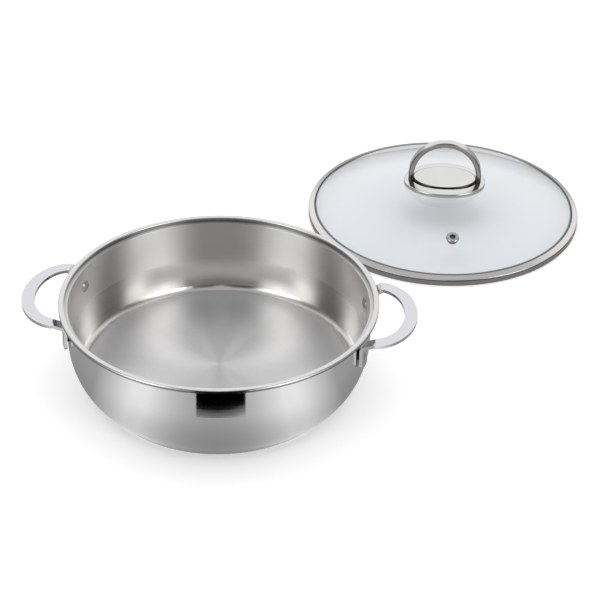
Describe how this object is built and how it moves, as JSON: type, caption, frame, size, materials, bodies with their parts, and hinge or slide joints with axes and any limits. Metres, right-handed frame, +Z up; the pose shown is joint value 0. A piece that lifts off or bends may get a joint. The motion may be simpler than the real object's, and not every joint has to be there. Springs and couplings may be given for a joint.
{
  "type": "stewpot",
  "caption": "Low round stewpot of polished steel with riveted strap loop handles, a capped base and a domed glass lid with a steel rim, steam vent and arched knob, lying beside it.",
  "frame": {"origin": "centre of the pot's underside, on the table", "axes": "+Z up, +X towards the right handle as seen from the front, -Y towards the front; the lid lies behind on the right"},
  "size_m": [0.4645, 0.513, 0.081],
  "materials": {
    "steel": "polished outside, brushed inside",
    "base": "brushed",
    "core": "as cast, hidden",
    "handle": "satin top, polished edges",
    "rivet": "satin",
    "glass": "clear, tempered",
    "rim": "satin",
    "knob": "polished",
    "trim": "polished",
    "seal": "matt silicone"
  },
  "bodies": {
    "pot": {"pot_body": "steel", "base_core": "core", "base_cap": "base", "left_handle": "handle", "right_handle": "handle", "left_handle_rivets": "rivet", "right_handle_rivets": "rivet"},
    "lid": {"lid_glass": "glass", "lid_rim": "rim", "vent_eyelet": "trim", "vent_washer": "trim", "knob_base": "knob", "knob_loop": "knob", "knob_screw": "trim", "knob_washer": "trim", "knob_gasket": "seal", "knob_seal": "seal"}
  },
  "joints": [
    {"name": "lid_lift", "type": "slide", "parent": "pot", "child": "lid", "axis": [0, 0, 1], "range_m": [0, 0.2]}
  ]
}
